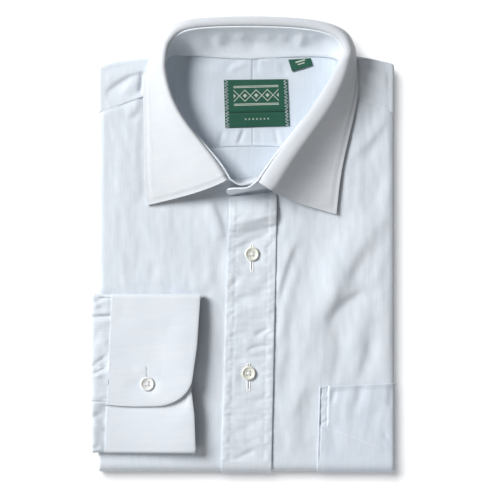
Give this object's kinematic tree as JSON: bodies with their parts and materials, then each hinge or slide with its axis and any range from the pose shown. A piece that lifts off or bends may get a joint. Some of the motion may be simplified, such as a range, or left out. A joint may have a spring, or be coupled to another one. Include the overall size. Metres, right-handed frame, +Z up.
{
  "type": "long sleeve dress shirt, folded flat",
  "caption": "Button-front dress shirt folded flat, with a spread collar standing open, a patch pocket, and one barrel cuff laid on the front.",
  "frame": {"origin": "middle of the underside, on the surface that the folded shirt lies on", "axes": "+Z up off that surface, +Y from the bottom fold towards the collar, +X towards the pocket side"},
  "size_m": [0.2431, 0.3653, 0.0434],
  "materials": {
    "shirt_cloth": "pale blue plain-weave cotton, matt, with soft creases",
    "shirt_cloth_inside": "wrong side of the pale blue cotton, matt",
    "woven_label": "dark green woven label with a plain cream geometric pattern",
    "button_shell": "off-white pearly button, polished"
  },
  "bodies": {
    "root": {"folded_layers": "shirt_cloth_inside", "right_front": "shirt_cloth", "left_front": "shirt_cloth", "front_placket": "shirt_cloth", "right_shoulder_yoke": "shirt_cloth", "left_shoulder_yoke": "shirt_cloth", "right_yoke_inside": "shirt_cloth_inside", "left_yoke_inside": "shirt_cloth_inside", "back_inside": "shirt_cloth_inside", "collar_stand": "shirt_cloth", "collar_leaf": "shirt_cloth", "neck_label": "woven_label", "size_tab": "woven_label", "chest_pocket": "shirt_cloth", "sleeve": "shirt_cloth", "sleeve_placket": "shirt_cloth", "cuff": "shirt_cloth", "placket_button_1": "button_shell", "placket_button_2": "button_shell", "cuff_button": "button_shell"}
  },
  "joints": []
}
